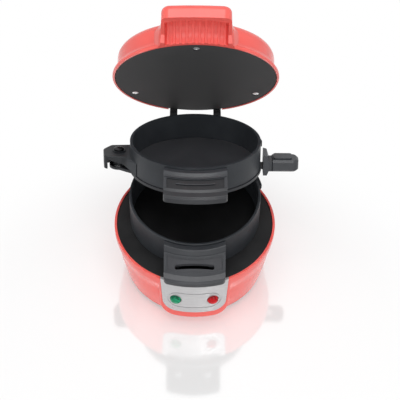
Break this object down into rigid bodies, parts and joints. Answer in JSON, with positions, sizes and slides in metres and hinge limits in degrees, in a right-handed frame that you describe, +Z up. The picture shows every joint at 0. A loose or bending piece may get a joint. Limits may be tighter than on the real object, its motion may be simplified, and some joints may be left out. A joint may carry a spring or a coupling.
{
  "type": "breakfast sandwich maker",
  "caption": "Round worktop sandwich maker with a heated base and lid, two hinged cooking rings and a plate that swings out between them.",
  "frame": {"origin": "on the axis of the round base, in the plane that the feet rest on", "axes": "+X to the right, towards the swing plate's handle; +Y to the back, towards the hinge; +Z up"},
  "size_m": [0.1715, 0.2147, 0.253],
  "materials": {
    "coral_plastic": "smooth glossy",
    "nonstick_plate": "satin non-stick coating on aluminium",
    "coated_ring": "matte non-stick coating on aluminium",
    "handle_plastic": "satin moulded plastic",
    "black_plastic": "moulded, matte",
    "silver_plastic": "silver lacquer, satin",
    "green_lens": "clear faceted jewel",
    "red_lens": "clear faceted jewel",
    "foot_rubber": "matte",
    "thermostat_body": "ceramic-filled moulding",
    "brass_parts": "plain",
    "black_steel": "blackened",
    "steel": "plain zinc or stainless"
  },
  "bodies": {
    "base": {"base_housing": "coral_plastic", "bottom_cover": "black_plastic", "rubber_feet": "foot_rubber", "cover_screws": "steel", "cord_gland": "black_plastic", "bottom_plate": "nonstick_plate", "bottom_heating_element": "steel", "bottom_heater_clamp": "steel", "bottom_clamp_screws": "steel", "bottom_plate_screws": "steel", "thermostat": "thermostat_body", "thermal_fuse": "brass_parts", "fuse_clip": "steel", "terminal_block": "black_plastic", "control_panel": "silver_plastic", "green_light_lens": "green_lens", "red_light_lens": "red_lens", "lamp_holders": "black_plastic", "hinge_bracket": "black_plastic", "hinge_bracket_screws": "steel", "hinge_pin": "steel", "pin_clips": "steel"},
    "lower_ring_body": {"lower_ring": "coated_ring", "lower_ring_handle": "handle_plastic", "lower_handle_screws": "steel"},
    "upper_ring_body": {"upper_ring": "coated_ring", "upper_ring_handle": "handle_plastic", "upper_handle_screws": "steel", "pivot_screw": "black_steel", "pivot_nut": "steel", "pivot_washer": "steel"},
    "swing_plate_body": {"swing_plate": "nonstick_plate", "swing_plate_handle": "handle_plastic", "swing_handle_screws": "steel"},
    "lid": {"lid_shell": "coral_plastic", "lid_plate": "nonstick_plate", "lid_plate_screws": "steel", "lid_heating_element": "steel", "lid_heater_clamp": "steel", "lid_clamp_screws": "steel", "lid_hinge_bracket": "black_plastic", "lid_bracket_screws": "steel"}
  },
  "joints": [
    {"name": "lower_ring_hinge", "type": "hinge", "parent": "base", "child": "lower_ring_body", "pos_m": [0, 0.073, 0.065], "axis": [-1, 0, 0], "range_deg": [0, 40]},
    {"name": "upper_ring_hinge", "type": "hinge", "parent": "lower_ring_body", "child": "upper_ring_body", "pos_m": [0, 0.073, 0.065], "axis": [-1, 0, 0], "range_deg": [-21.5, 8.5]},
    {"name": "lid_hinge", "type": "hinge", "parent": "upper_ring_body", "child": "lid", "pos_m": [0, 0.073, 0.065], "axis": [-1, 0, 0], "range_deg": [-45.8, 24.2]},
    {"name": "swing_plate_pivot", "type": "hinge", "parent": "upper_ring_body", "child": "swing_plate_body", "pos_m": [-0.067, 0.02098, 0.11139], "axis": [0, 0.3665, 0.9304], "range_deg": [-95, 0]}
  ]
}
